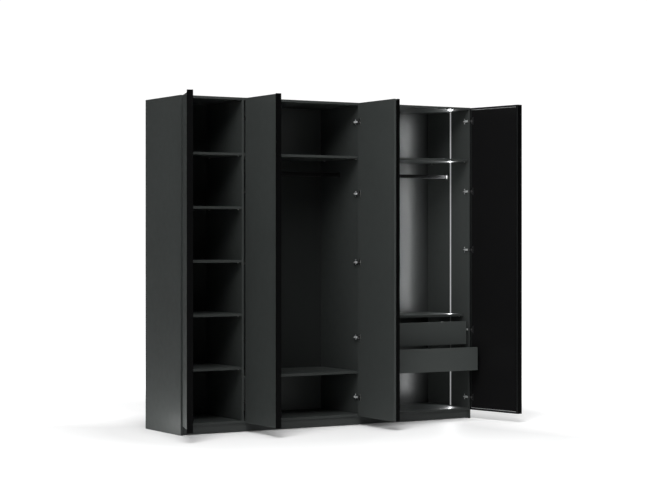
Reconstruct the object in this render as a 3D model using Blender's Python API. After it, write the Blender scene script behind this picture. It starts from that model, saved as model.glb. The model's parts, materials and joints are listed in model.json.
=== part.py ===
"""Hinged-door wardrobe with three bays, built piece by piece.

Frame: metres, +Z up, +X to the right along the front, +Y towards the back
panels.  The origin is on the floor under the middle of the whole object as it
stands with its doors open.  Every board, door leaf, drawer part, rail, hinge
and light profile is its own object.
"""
import math

import bmesh
import bpy
from mathutils import Matrix, Vector

for old in list(bpy.data.objects):
    bpy.data.objects.remove(old, do_unlink=True)

# ---------------------------------------------------------------- dimensions
WIDTH = 2.496            # carcass, outer face to outer face
HEIGHT = 2.400
DEPTH = 0.574            # front edges of the side panels to the rear edge
SIDE_T = 0.016           # side panels and dividers
BOARD_T = 0.018          # top, bottom and shelves
GAP = 0.0003             # joint line between two touching pieces
DIVIDER_1 = 0.498        # centre line, narrow bay | first wide bay
DIVIDER_2 = 1.493        # centre line, first wide bay | second wide bay
FLOOR_BOARD_Z = 0.064    # underside of the bottom board
BACK_Y = 0.560           # front face of the back panels
BACK_T = 0.008
PLINTH_SETBACK = 0.010
PLINTH_T = 0.016
PLINTH_GAP = 0.005       # the plinth boards hang just clear of the floor

SHELF_PITCH = 0.384
SHELF_FIRST = 0.448      # underside of the lowest shelf of the narrow bay
SHELF_COUNT = 5
SHELF_SETBACK = 0.004
SHELF_END = 0.0013       # play between a shelf's end and the wall beside it
SHELF_TOP_Z = SHELF_FIRST + (SHELF_COUNT - 1) * SHELF_PITCH
MIDDLE_LOW_SHELF_Z = 0.384
RIGHT_LOW_SHELF_Z = 0.786
RIGHT_LOW_SHELF_SETBACK = 0.077

RAIL_Y = 0.290
RAIL_Z = 1.872
RAIL_W = 0.015
RAIL_H = 0.030
RAIL_WALL = 0.0015

LED_Y0, LED_Y1 = 0.236, 0.256
LED_DEPTH = 0.009        # the light profile is let into the wall, flush with it
MOUNT_STRIP_T = 0.0005   # thin strip that ties a door's hinge parts together

DOOR_Z0 = 0.068
DOOR_Z1 = 2.397
LEAF_T = 0.016
LEAF_GAP = 0.003         # door leaf to the front edges of the carcass
REVEAL = 0.0015          # half of the gap between two neighbouring leaves
PROFILE_T = 0.003        # thickness of the vertical edge profiles
PROFILE_FIN = 0.028      # how far a grip profile stands out of the leaf
PROFILE_FIN_SHORT = 0.009
PROFILE_LEG = 0.012

CUP_R = 0.0172
CUP_STEPS = 14
CUP_DEPTH = 0.0114
CUP_OFFSET = 0.0225      # cup centre to the hinge edge of the leaf
HINGE_Z_OUTER = (0.165, 0.687, 1.303, 1.753, 2.296)
HINGE_Z_INNER = (0.207, 0.652, 1.212, 1.723, 2.257)

DRAWER_GAP_LEFT = 0.038   # room for the hinge of the door and a spacer board
DRAWER_GAP_RIGHT = 0.023
DRAWER_SPACER_T = 0.016
DRAWER_FRONT_T = 0.016
DRAWER_HEIGHT = 0.176
DRAWER_CLOSED_Y = 0.190  # front face of a drawer that is pushed home
DRAWER_BOX_LENGTH = 0.350
DRAWER_UPPER_Z = 0.574
DRAWER_LOWER_Z = 0.382
DRAWER_UPPER_OUT = 0.190
DRAWER_LOWER_OUT = 0.340

# the object's own origin: the middle of its box with the doors open
SHIFT_X = -1.2176
SHIFT_Y = -0.0335


# ----------------------------------------------------------------- materials
def material(name, colour, rough, metal=0.0, coat=0.0):
    mat = bpy.data.materials.new(name)
    mat.use_nodes = True
    bsdf = mat.node_tree.nodes["Principled BSDF"]
    bsdf.inputs["Base Color"].default_value = (*colour, 1.0)
    bsdf.inputs["Roughness"].default_value = rough
    bsdf.inputs["Metallic"].default_value = metal
    bsdf.inputs["Coat Weight"].default_value = coat
    mat.diffuse_color = (*colour, 1.0)
    return mat


GRAPHITE = (0.036, 0.040, 0.038)
BLACK = (0.008, 0.008, 0.008)


# ------------------------------------------------------------------- helpers
def finish(name, bm, mat, parent=None, smooth=False):
    bmesh.ops.recalc_face_normals(bm, faces=bm.faces)
    mesh = bpy.data.meshes.new(name)
    bm.to_mesh(mesh)
    bm.free()
    if smooth:
        mesh.shade_smooth()
        mesh.set_sharp_from_angle(angle=math.radians(35))
    mesh.materials.append(mat)
    obj = bpy.data.objects.new(name, mesh)
    bpy.context.scene.collection.objects.link(obj)
    obj.parent = parent
    return obj


def add_box(bm, x0, x1, y0, y1, z0, z1):
    """A board between two corners."""
    made = bmesh.ops.create_cube(bm, size=1.0)["verts"]
    bmesh.ops.scale(bm, vec=(abs(x1 - x0), abs(y1 - y0), abs(z1 - z0)), verts=made)
    bmesh.ops.translate(
        bm, vec=((x0 + x1) / 2, (y0 + y1) / 2, (z0 + z1) / 2), verts=made)
    return made


def add_prism(bm, outline, z0, z1):
    """An outline in plan, extruded upwards."""
    verts = [bm.verts.new((x, y, z0)) for x, y in outline]
    face = bm.faces.new(verts)
    made = bmesh.ops.extrude_face_region(bm, geom=[face])["geom"]
    top = [v for v in made if isinstance(v, bmesh.types.BMVert)]
    bmesh.ops.translate(bm, vec=(0, 0, z1 - z0), verts=top)
    return verts + top


def add_turned(bm, profile, centre, axis, steps):
    """A closed profile of (radius, height) turned about an axis; the profile
    starts and ends on the axis."""
    start = [bm.verts.new((r, 0, h)) for r, h in profile]
    edges = [bm.edges.new((a, b)) for a, b in zip(start, start[1:])]
    bmesh.ops.spin(
        bm, geom=start + edges, cent=(0, 0, 0), axis=(0, 0, 1),
        angle=2 * math.pi, steps=steps, use_duplicate=False, use_merge=True)
    island, todo = set(start), list(start)
    while todo:
        for e in todo.pop().link_edges:
            for v in e.verts:
                if v not in island:
                    island.add(v)
                    todo.append(v)
    bmesh.ops.remove_doubles(bm, verts=list(island), dist=1e-6)
    island = [v for v in island if v.is_valid]
    turn = Vector((0, 0, 1)).rotation_difference(Vector(axis)).to_matrix().to_4x4()
    bmesh.ops.transform(
        bm, matrix=Matrix.Translation(centre) @ turn, verts=island)
    return island


def board(name, mat, x0, x1, y0, y1, z0, z1, parent=None):
    bm = bmesh.new()
    add_box(bm, x0, x1, y0, y1, z0, z1)
    return finish(name, bm, mat, parent)


def boards(name, mat, corners, parent=None):
    bm = bmesh.new()
    for c in corners:
        add_box(bm, *c)
    return finish(name, bm, mat, parent)


def cutter(name, bm):
    mat = bpy.data.materials.get("cutter") or bpy.data.materials.new("cutter")
    obj = finish(name, bm, mat)
    obj.hide_render = True
    obj.display_type = "WIRE"
    return obj


def cut(obj, tool):
    mod = obj.modifiers.new("cut_" + tool.name, "BOOLEAN")
    mod.operation = "DIFFERENCE"
    mod.solver = "EXACT"
    mod.object = tool


def join(obj, tool):
    mod = obj.modifiers.new("join_" + tool.name, "BOOLEAN")
    mod.operation = "UNION"
    mod.solver = "EXACT"
    mod.object = tool


def empty(name, location, angle=0.0, parent=None):
    obj = bpy.data.objects.new(name, None)
    obj.location = location
    obj.rotation_euler = (0, 0, angle)
    obj.parent = parent
    bpy.context.scene.collection.objects.link(obj)
    return obj


# every piece hangs on one carcass empty, which carries the origin shift
ROOT = empty("wardrobe_frame", (SHIFT_X, SHIFT_Y, 0.0))

D1L, D1R = DIVIDER_1 - SIDE_T / 2, DIVIDER_1 + SIDE_T / 2
D2L, D2R = DIVIDER_2 - SIDE_T / 2, DIVIDER_2 + SIDE_T / 2
INNER_L, INNER_R = SIDE_T, WIDTH - SIDE_T
FLOOR_TOP = FLOOR_BOARD_Z + BOARD_T
CEILING = HEIGHT - BOARD_T

# ------------------------------------------------------------------- carcass
board("side_panel_left", material("graphite_side_left", GRAPHITE, 0.45),
      0, SIDE_T, 0, DEPTH, 0, CEILING - GAP, ROOT)
side_right = board("side_panel_right", material("graphite_side_right", GRAPHITE, 0.45),
                   INNER_R, WIDTH, 0, DEPTH, 0, CEILING - GAP, ROOT)
LED_Z0, LED_Z1 = FLOOR_TOP + 0.001, CEILING - 0.001
bm = bmesh.new()
add_box(bm, INNER_R - 0.01, INNER_R + LED_DEPTH + GAP, LED_Y0 - GAP, LED_Y1 + GAP,
        LED_Z0 - GAP, LED_Z1 + GAP)
groove = cutter("light_groove", bm)
groove.parent = ROOT
cut(side_right, groove)
board("divider_left", material("graphite_divider_left", GRAPHITE, 0.45),
      D1L, D1R, 0, DEPTH - 0.014, FLOOR_TOP + GAP, CEILING - GAP, ROOT)
board("divider_right", material("graphite_divider_right", GRAPHITE, 0.45),
      D2L, D2R, 0, DEPTH - 0.014, FLOOR_TOP + GAP, CEILING - GAP, ROOT)
board("top_panel", material("graphite_top", GRAPHITE, 0.45),
      0, WIDTH, 0, DEPTH, CEILING, HEIGHT, ROOT)
board("bottom_panel", material("graphite_bottom", GRAPHITE, 0.45),
      INNER_L + GAP, INNER_R - GAP, 0, DEPTH - 0.014, FLOOR_BOARD_Z, FLOOR_TOP, ROOT)

# the back panels lie behind the dividers, between the side panels
for name, x0, x1 in (("left", INNER_L + GAP, DIVIDER_1 - GAP),
                     ("middle", DIVIDER_1 + GAP, DIVIDER_2 - GAP),
                     ("right", DIVIDER_2 + GAP, INNER_R - GAP)):
    board("back_panel_" + name, material("graphite_back_" + name, GRAPHITE, 0.5),
          x0, x1, BACK_Y + GAP, BACK_Y + GAP + BACK_T, FLOOR_BOARD_Z,
          CEILING - GAP, ROOT)

PLINTH_TOP = FLOOR_BOARD_Z - GAP
board("plinth_front", material("graphite_plinth", GRAPHITE, 0.45),
      INNER_L + 0.001, INNER_R - 0.001, PLINTH_SETBACK,
      PLINTH_SETBACK + PLINTH_T, PLINTH_GAP, PLINTH_TOP, ROOT)
PLINTH_REAR_Y = DEPTH - 0.036
RIB_X = (0.060, 0.300, DIVIDER_1, 0.990, DIVIDER_2, 1.990, WIDTH - 0.060)
# the rest of the plinth is one glued ladder: a rear board, ribs and floor pads
frame = board("plinth_frame", material("graphite_plinth_frame", GRAPHITE, 0.5),
              INNER_L + 0.001, INNER_R - 0.001, PLINTH_REAR_Y,
              PLINTH_REAR_Y + PLINTH_T, PLINTH_GAP, PLINTH_TOP, ROOT)
bm = bmesh.new()
for x in RIB_X:
    add_box(bm, x - 0.008, x + 0.008, PLINTH_SETBACK + PLINTH_T + GAP,
            PLINTH_REAR_Y + 0.006, PLINTH_GAP + 0.001, PLINTH_TOP - 0.001)
ribs = cutter("plinth_rib_set", bm)
ribs.parent = ROOT
join(frame, ribs)
bm = bmesh.new()
for x in RIB_X:
    for y in (0.060, 0.510):
        add_box(bm, x - 0.015, x + 0.015, y - 0.015, y + 0.015, 0.0, 0.010)
pads = cutter("plinth_pad_set", bm)
pads.parent = ROOT
join(frame, pads)

# ------------------------------------------------------------------- shelves
SHELVES = []
for i in range(SHELF_COUNT):
    SHELVES.append(("shelf_left_%d" % (i + 1), INNER_L, D1L,
                    SHELF_FIRST + i * SHELF_PITCH, SHELF_SETBACK))
SHELVES += [
    ("shelf_middle_upper", D1R, D2L, SHELF_TOP_Z, SHELF_SETBACK),
    ("shelf_middle_lower", D1R, D2L, MIDDLE_LOW_SHELF_Z, SHELF_SETBACK),
    ("shelf_right_upper", D2R, INNER_R, SHELF_TOP_Z, SHELF_SETBACK),
    ("shelf_right_lower", D2R, INNER_R, RIGHT_LOW_SHELF_Z, RIGHT_LOW_SHELF_SETBACK),
]
for name, x0, x1, z, setback in SHELVES:
    board(name, material("graphite_" + name, GRAPHITE, 0.45),
          x0 + SHELF_END, x1 - SHELF_END, setback, BACK_Y - 0.001,
          z, z + BOARD_T, ROOT)

# -------------------------------------------------------------- hanging rails
RAIL_STEPS = 20


def oval(bm, half_w, half_h, x):
    """A ring of corners around a flat-sided oval, in the plane across the bay."""
    ring = []
    straight = half_h - half_w
    for i in range(RAIL_STEPS):
        a = 2 * math.pi * i / RAIL_STEPS
        z = half_w * math.sin(a) + (straight if math.sin(a) > 1e-9 else
                                    -straight if math.sin(a) < -1e-9 else 0.0)
        ring.append(bm.verts.new((x, RAIL_Y + half_w * math.cos(a), RAIL_Z + z)))
    return ring


def skin(bm, a, b):
    n = len(a)
    for i in range(n):
        bm.faces.new((a[i], a[(i + 1) % n], b[(i + 1) % n], b[i]))


# an open tube with a stepped mounting collar at each end, against the wall
COLLAR = ((0.0065, 0.0055, 0.0), (0.0065, 0.0055, 0.0035), (0.0030, 0.0030, 0.0060),
          (0.0030, 0.0030, 0.0155), (0.0, 0.0, 0.0156))
for name, x0, x1 in (("middle", D1R, D2L), ("right", D2R, INNER_R)):
    bm = bmesh.new()
    a, b = x0 + GAP, x1 - GAP
    rings = [oval(bm, RAIL_W / 2 + dw, RAIL_H / 2 + dh, a + dx) for dw, dh, dx in COLLAR]
    rings += [oval(bm, RAIL_W / 2 + dw, RAIL_H / 2 + dh, b - dx)
              for dw, dh, dx in reversed(COLLAR)]
    bore = [oval(bm, RAIL_W / 2 - RAIL_WALL, RAIL_H / 2 - RAIL_WALL, x)
            for x in (b, a)]
    rings += bore
    for p, q in zip(rings, rings[1:] + rings[:1]):
        skin(bm, p, q)
    finish("hanging_rail_" + name, bm,
           material("rail_black_" + name, (0.012, 0.012, 0.012), 0.35, 0.6),
           ROOT, smooth=True)

# --------------------------------------------------------------- light profile
# an aluminium channel let into the right-hand wall, with a translucent cover
xi, xo = INNER_R, INNER_R + LED_DEPTH
bm = bmesh.new()
add_prism(bm, [
    (xo, LED_Y0), (xi, LED_Y0), (xi, LED_Y0 + 0.0015), (xo - 0.0015, LED_Y0 + 0.0015),
    (xo - 0.0015, LED_Y1 - 0.0015), (xi, LED_Y1 - 0.0015), (xi, LED_Y1),
    (xo, LED_Y1)], LED_Z0, LED_Z1)
finish("light_channel", bm,
       material("channel_aluminium", (0.5, 0.5, 0.5), 0.35, 1.0), ROOT)
bm = bmesh.new()
add_box(bm, xi + 0.0002, xo - 0.0018, LED_Y0 + 0.0018, LED_Y1 - 0.0018,
        LED_Z0 + 0.0005, LED_Z1 - 0.0005)
glow = material("light_cover", (0.95, 0.95, 0.93), 0.4)
glow.node_tree.nodes["Principled BSDF"].inputs["Emission Color"].default_value = (1, 1, 0.97, 1)
glow.node_tree.nodes["Principled BSDF"].inputs["Emission Strength"].default_value = 2.0
finish("light_cover", bm, glow, ROOT)

# ----------------------------------------------------------------------- doors
# number, hinge line in carcass X, +1 when hinged on its left edge, pivot
# distances from that line and from the front edges, leaf width up to its edge
# profile, opening angle, grip fin height (None for a plain edge), hinge heights
MID_12 = (DIVIDER_1 + DIVIDER_2) / 2
MID_23 = (DIVIDER_2 + WIDTH) / 2
PIVOT_OUTER = (0.0090, 0.0170)
PIVOT_RIGHT = (0.0030, 0.0088)
PIVOT_INNER = (0.01225, 0.02075)
PIVOT_BACK_TO_BACK = (0.0065, 0.0135)
EDGE = PROFILE_T + GAP
DOORS = (
    (1, 0.0, 1, PIVOT_OUTER, DIVIDER_1 - 2 * REVEAL - EDGE, 110.0,
     PROFILE_FIN, HINGE_Z_OUTER),
    (2, DIVIDER_1, 1, PIVOT_INNER, MID_12 - DIVIDER_1 - 2 * REVEAL - EDGE, 90.0,
     PROFILE_FIN, HINGE_Z_INNER),
    (3, DIVIDER_2, -1, PIVOT_INNER, DIVIDER_2 - MID_12 - 2 * REVEAL, 90.0,
     None, HINGE_Z_INNER),
    (4, DIVIDER_2, 1, PIVOT_BACK_TO_BACK, MID_23 - DIVIDER_2 - 2 * REVEAL - EDGE,
     90.0, PROFILE_FIN_SHORT, HINGE_Z_INNER),
    (5, WIDTH, -1, PIVOT_RIGHT, WIDTH - MID_23 - 2 * REVEAL - EDGE, 100.5,
     PROFILE_FIN, HINGE_Z_OUTER),
)
MIRROR_T = 0.004
MIRROR_BORDER = 0.015
MIRROR_BORDER_HINGE = 0.015

for n, line, hand, (pa, ph), width, angle, fin, heights in DOORS:
    axis = empty("door_%d_axis" % n, (line + hand * pa, -ph, 0.0),
                 math.radians(-hand * angle), ROOT)
    # the leaf in the closed position, measured from the hinge axis
    s0 = REVEAL - pa                      # hinge edge
    y_out = -LEAF_GAP - LEAF_T + ph       # outer face
    y_in = -LEAF_GAP + ph                 # inner face

    def span(a, b):
        return tuple(sorted((hand * a, hand * b)))

    x0, x1 = span(s0, s0 + width)
    leaf = board("door_%d_leaf" % n, material("graphite_door_%d" % n, GRAPHITE, 0.4),
                 x0, x1, y_out, y_in, DOOR_Z0, DOOR_Z1, axis)
    # bored pockets for the hinge cups
    bm = bmesh.new()
    for z in heights:
        add_turned(bm, [(0, -0.0120), (CUP_R + GAP, -0.0120), (CUP_R + GAP, 0.010),
                        (0, 0.010)],
                   (hand * (s0 + CUP_OFFSET), y_in, z), (0, 1, 0), CUP_STEPS)
    pockets = cutter("door_%d_cup_pockets" % n, bm)
    pockets.parent = axis
    cut(leaf, pockets)
    if n == 5:
        # a shallow recess in the inner face takes the dark mirror
        m0, m1 = s0 + MIRROR_BORDER_HINGE, s0 + width - MIRROR_BORDER
        bm = bmesh.new()
        r0, r1 = span(m0, m1)
        add_box(bm, r0, r1, y_in - MIRROR_T - GAP, y_in + 0.01,
                DOOR_Z0 + MIRROR_BORDER, DOOR_Z1 - MIRROR_BORDER)
        recess = cutter("door_5_mirror_recess", bm)
        recess.parent = axis
        cut(leaf, recess)
        mirror = board("door_5_mirror", material("mirror_dark", (0.010, 0.010, 0.011), 0.05,
                                                 0.0, 1.0),
                       r0 + GAP, r1 - GAP, y_in - MIRROR_T, y_in - GAP,
                       DOOR_Z0 + MIRROR_BORDER + GAP, DOOR_Z1 - MIRROR_BORDER - GAP,
                       axis)
        bm = bmesh.new()
        for z in heights:
            add_turned(bm, [(0, -0.0120), (CUP_R + 0.0006, -0.0120),
                            (CUP_R + 0.0006, 0.010), (0, 0.010)],
                       (hand * (s0 + CUP_OFFSET), y_in, z), (0, 1, 0), CUP_STEPS)
        holes = cutter("door_5_mirror_holes", bm)
        holes.parent = axis
        cut(mirror, holes)
    # hinge cups: a pan let into the leaf with a flange on its face
    bm = bmesh.new()
    for z in heights:
        add_turned(bm, [(0, -CUP_DEPTH), (CUP_R, -CUP_DEPTH), (CUP_R, GAP),
                        (0.0195, GAP), (0.0195, 0.0012), (0.0155, 0.0012),
                        (0.0155, -CUP_DEPTH + 0.0012), (0, -CUP_DEPTH + 0.0012)],
                   (hand * (s0 + CUP_OFFSET), y_in, z), (0, 1, 0), CUP_STEPS)
    cups = finish("door_%d_hinge_cups" % n, bm,
                  material("cup_nickel_%d" % n, (0.45, 0.46, 0.47), 0.28, 1.0), axis,
                  smooth=True)
    bm = bmesh.new()
    t0, t1 = span(s0 + CUP_OFFSET + 0.0075, s0 + CUP_OFFSET + 0.0135)
    add_box(bm, t0, t1, y_in + 0.0004, y_in + 0.0004 + MOUNT_STRIP_T,
            heights[0] - 0.012, heights[-1] + 0.012)
    strip = cutter("door_%d_cup_strip" % n, bm)
    strip.parent = axis
    join(cups, strip)
    # vertical edge profile on the free edge
    if fin is not None:
        e = s0 + width
        outline = [(e + GAP, y_in), (e + EDGE, y_in), (e + EDGE, y_out - fin),
                   (e + GAP, y_out - fin), (e + GAP, y_out - 0.0023),
                   (e - PROFILE_LEG, y_out - 0.0023), (e - PROFILE_LEG, y_out - GAP),
                   (e + GAP, y_out - GAP)]
        bm = bmesh.new()
        add_prism(bm, [(hand * x, y) for x, y in outline], DOOR_Z0, DOOR_Z1)
        finish("door_%d_grip_profile" % n, bm,
               material("profile_black_%d" % n, BLACK, 0.35, 0.3), axis)
    # hinge arms on the carcass wall: a mounting plate and the arm, in one piece
    reach0, reach1 = ((0.0225, 0.0280) if n != 4 else (0.0135, 0.0190))
    if n in (1, 5):
        base = SIDE_T
    else:
        base = SIDE_T / 2
    plate = base + 0.0042
    bm = bmesh.new()
    for z in heights:
        outline = [(base + GAP, 0.022), (plate, 0.022), (reach0 - 0.0001, 0.017),
                   (reach0, -0.002), (reach1, -0.002), (reach1, 0.050),
                   (plate, 0.062), (base + GAP, 0.062)]
        add_prism(bm, [(line + hand * x, y) for x, y in outline],
                  z - 0.0075, z + 0.0075)
    arms = finish("door_%d_hinge_arms" % n, bm,
                  material("arm_nickel_%d" % n, (0.45, 0.46, 0.47), 0.28, 1.0), ROOT)
    bm = bmesh.new()
    t0, t1 = sorted((line + hand * (base + 0.0004),
                     line + hand * (base + 0.0004 + MOUNT_STRIP_T)))
    add_box(bm, t0, t1, 0.032, 0.052, heights[0] - 0.006, heights[-1] + 0.006)
    strip = cutter("door_%d_arm_strip" % n, bm)
    strip.parent = ROOT
    join(arms, strip)

# --------------------------------------------------------------------- drawers
# a spacer board on the divider brings the left runners clear of the door's hinge
board("drawer_spacer", material("graphite_drawer_spacer", GRAPHITE, 0.45),
      D2R + GAP, D2R + GAP + DRAWER_SPACER_T, DRAWER_CLOSED_Y + 0.010, BACK_Y - 0.004,
      DRAWER_LOWER_Z + 0.004, DRAWER_UPPER_Z + 0.126, ROOT)
DX0, DX1 = D2R + DRAWER_GAP_LEFT, INNER_R - DRAWER_GAP_RIGHT
DRAWER_SIDE_T = 0.014
for name, z, out in (("upper", DRAWER_UPPER_Z, DRAWER_UPPER_OUT),
                     ("lower", DRAWER_LOWER_Z, DRAWER_LOWER_OUT)):
    slide = empty("drawer_%s_slide" % name, (0, -out, 0), 0.0, ROOT)
    fy0, fy1 = DRAWER_CLOSED_Y, DRAWER_CLOSED_Y + DRAWER_FRONT_T
    bx0, bx1 = DX0 - 0.004, DX1 + 0.004
    by0, by1 = fy1 + GAP, fy1 + DRAWER_BOX_LENGTH
    bz0, bz1 = z + 0.010, z + 0.126
    side = DRAWER_SIDE_T
    board("drawer_%s_front" % name, material("graphite_drawer_" + name, GRAPHITE, 0.42),
          DX0, DX1, fy0, fy1, z, z + DRAWER_HEIGHT, slide)
    for word, x0, x1 in (("left", bx0, bx0 + side), ("right", bx1 - side, bx1)):
        board("drawer_%s_side_%s" % (name, word),
              material("drawer_side_%s_%s" % (name, word), (0.03, 0.032, 0.032), 0.5),
              x0, x1, by0, by1, bz0, bz1, slide)
    board("drawer_%s_back" % name, material("drawer_back_" + name, (0.03, 0.032, 0.032), 0.5),
          bx0 + side + GAP, bx1 - side - GAP, by1 - side, by1, bz0 + 0.012, bz1, slide)
    board("drawer_%s_base" % name, material("drawer_base_" + name, (0.03, 0.032, 0.032), 0.5),
          bx0 + side + GAP, bx1 - side - GAP, by0, by1, bz0 + 0.002,
          bz0 + 0.012 - GAP, slide)
    # a runner on each wall carries the drawer side that slides past it
    rz0, rz1 = z + 0.016, z + 0.056
    for word, x0, x1 in (("left", D2R + DRAWER_SPACER_T + 2 * GAP, bx0 - GAP),
                         ("right", bx1 + GAP, INNER_R - GAP)):
        board("runner_%s_%s" % (name, word),
              material("runner_steel_%s_%s" % (name, word), (0.45, 0.45, 0.46), 0.35, 1.0),
              x0, x1, fy1 + 0.004, 0.530, rz0, rz1, ROOT)
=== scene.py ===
"""Looks for the hinged-door wardrobe: satin graphite foil boards, black edge
profiles, a dark glass mirror, nickel hinges, steel runners and a lit light
strip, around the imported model."""
import json
import math

import bmesh
import bpy
from mathutils import Matrix, Vector


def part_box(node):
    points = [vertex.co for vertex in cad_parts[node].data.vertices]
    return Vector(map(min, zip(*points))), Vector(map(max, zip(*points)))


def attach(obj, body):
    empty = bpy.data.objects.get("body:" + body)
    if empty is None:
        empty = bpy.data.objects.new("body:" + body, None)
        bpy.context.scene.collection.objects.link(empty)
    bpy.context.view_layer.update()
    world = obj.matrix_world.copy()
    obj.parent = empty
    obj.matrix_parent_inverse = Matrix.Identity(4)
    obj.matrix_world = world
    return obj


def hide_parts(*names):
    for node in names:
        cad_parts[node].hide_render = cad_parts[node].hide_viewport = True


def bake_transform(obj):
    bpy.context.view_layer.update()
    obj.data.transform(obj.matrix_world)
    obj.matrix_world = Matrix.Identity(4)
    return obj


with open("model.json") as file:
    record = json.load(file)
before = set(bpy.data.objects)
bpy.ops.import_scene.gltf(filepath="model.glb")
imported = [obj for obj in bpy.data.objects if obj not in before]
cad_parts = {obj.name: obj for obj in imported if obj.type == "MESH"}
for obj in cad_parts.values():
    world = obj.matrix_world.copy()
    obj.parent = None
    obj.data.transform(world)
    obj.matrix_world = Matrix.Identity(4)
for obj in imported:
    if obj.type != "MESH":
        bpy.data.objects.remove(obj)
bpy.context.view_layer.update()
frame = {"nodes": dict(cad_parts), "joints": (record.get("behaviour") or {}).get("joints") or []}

NODES = frame["nodes"]
SCENE = bpy.context.scene

# ------------------------------------------------------------ places in the row
side_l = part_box("side_panel_left")
side_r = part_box("side_panel_right")
OX, OY = side_l[0].x, side_l[0].y          # outer front corner of the left side
WIDTH = side_r[1].x - OX
DEPTH = side_l[1].y - OY
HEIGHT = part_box("top_panel")[1].z
SIDE_T = side_l[1].x - side_l[0].x
DIV1 = [c.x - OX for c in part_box("divider_left")]
DIV2 = [c.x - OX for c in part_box("divider_right")]
INNER_L, INNER_R = SIDE_T, WIDTH - SIDE_T


def P(x, y, z):
    """A point measured from the carcass's left outer front corner."""
    return Vector((OX + x, OY + y, z))


# -------------------------------------------------------------------- materials
class Net:
    """A material's node tree, built in few words."""

    def __init__(self, name):
        self.mat = bpy.data.materials.new(name)
        self.mat.use_nodes = True
        self.tree = self.mat.node_tree
        self.bsdf = self.tree.nodes["Principled BSDF"]
        coords = self.add("ShaderNodeTexCoord")
        self.object = coords.outputs["Object"]

    def add(self, kind, **values):
        node = self.tree.nodes.new(kind)
        for key, value in values.items():
            setattr(node, key, value)
        return node

    def link(self, a, b):
        self.tree.links.new(a, b)

    def mapped(self, scale):
        node = self.add("ShaderNodeMapping")
        node.inputs["Scale"].default_value = scale
        self.link(self.object, node.inputs["Vector"])
        return node.outputs["Vector"]

    def noise(self, scale, detail=3.0, rough=0.5, stretch=(1, 1, 1), distortion=0.0):
        node = self.add("ShaderNodeTexNoise")
        node.inputs["Scale"].default_value = scale
        node.inputs["Detail"].default_value = detail
        node.inputs["Roughness"].default_value = rough
        node.inputs["Distortion"].default_value = distortion
        self.link(self.mapped(stretch), node.inputs["Vector"])
        return node.outputs["Fac"]

    def remap(self, value, a, b, lo, hi):
        node = self.add("ShaderNodeMapRange")
        node.inputs["From Min"].default_value = a
        node.inputs["From Max"].default_value = b
        node.inputs["To Min"].default_value = lo
        node.inputs["To Max"].default_value = hi
        self.link(value, node.inputs["Value"])
        return node.outputs["Result"]

    def mix(self, factor, a, b):
        node = self.add("ShaderNodeMix", data_type="RGBA")
        self.link(factor, node.inputs["Factor"])
        for socket, value in ((node.inputs[6], a), (node.inputs[7], b)):
            if isinstance(value, (tuple, list)):
                socket.default_value = (*value[:3], 1.0)
            else:
                self.link(value, socket)
        return node.outputs[2]

    def math(self, operation, a, b):
        node = self.add("ShaderNodeMath", operation=operation)
        for socket, value in zip(node.inputs, (a, b)):
            if isinstance(value, (int, float)):
                socket.default_value = value
            else:
                self.link(value, socket)
        return node.outputs[0]

    def bump(self, height, strength, distance):
        node = self.add("ShaderNodeBump")
        node.inputs["Strength"].default_value = strength
        node.inputs["Distance"].default_value = distance
        self.link(height, node.inputs["Height"])
        self.link(node.outputs["Normal"], self.bsdf.inputs["Normal"])


def times(colour, k):
    return tuple(min(1.0, c * k) for c in colour)


def surface(name, colour, rough, metal=0.0, spec=0.5, cloud=0.05, cloud_scale=2.2,
            grain=0.07, grain_scale=900.0, rough_var=0.05, bump=0.12,
            bump_scale=1500.0, bump_dist=0.00004, stretch=(1, 1, 1), coat=0.0,
            coat_rough=0.1, face=None):
    """A finish with slow tone variation, a fine grain in its colour, uneven
    gloss and a fine surface texture."""
    net = Net(name)
    slow = net.remap(net.noise(cloud_scale, 3.0), 0.3, 0.7, 0.0, 1.0)
    fine = net.remap(net.noise(grain_scale, 2.0, stretch=stretch), 0.3, 0.7, 0.0, 1.0)
    tone = net.mix(slow, times(colour, 1 - cloud), times(colour, 1 + cloud))
    dark = net.add("ShaderNodeMix", data_type="RGBA", blend_type="MULTIPLY")
    dark.inputs["Factor"].default_value = 1.0
    net.link(tone, dark.inputs[6])
    net.link(net.mix(fine, (1 - grain,) * 3, (1.0,) * 3), dark.inputs[7])
    if face is None:
        net.link(dark.outputs[2], net.bsdf.inputs["Base Color"])
    else:                                  # one side of a plane has its own colour
        # used below for painted shade and painted light on one face of the back panels and of door
        # 5's leaf
        along = net.add("ShaderNodeVectorMath", operation="DOT_PRODUCT")
        net.link(net.object, along.inputs[0])
        along.inputs[1].default_value = face[0]
        beyond = net.math("GREATER_THAN", along.outputs["Value"], face[1])
        net.link(net.mix(beyond, dark.outputs[2], face[2]), net.bsdf.inputs["Base Color"])
    patch = net.noise(cloud_scale * 9, 4.0, 0.6, stretch)
    net.link(net.remap(patch, 0.3, 0.7, max(0.02, rough - rough_var), rough + rough_var),
             net.bsdf.inputs["Roughness"])
    net.bsdf.inputs["Metallic"].default_value = metal
    net.bsdf.inputs["Specular IOR Level"].default_value = spec
    net.bsdf.inputs["Coat Weight"].default_value = coat
    net.bsdf.inputs["Coat Roughness"].default_value = coat_rough
    height = net.noise(bump_scale, 3.0, 0.6, stretch)
    net.bump(height, bump, bump_dist)
    net.mat.diffuse_color = (*colour, 1.0)
    return net.mat


GRAPHITE = (0.0340, 0.0375, 0.0362)
FOIL = surface("graphite_foil", GRAPHITE, 0.42, spec=0.14)
# painted light: the door leaves in a 10 % lighter copy of the graphite foil
DOOR_FOIL_PAINTED_LIGHT = surface("graphite_door_foil", times(GRAPHITE, 1.10), 0.40, spec=0.14,
                    cloud_scale=1.7)
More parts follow.
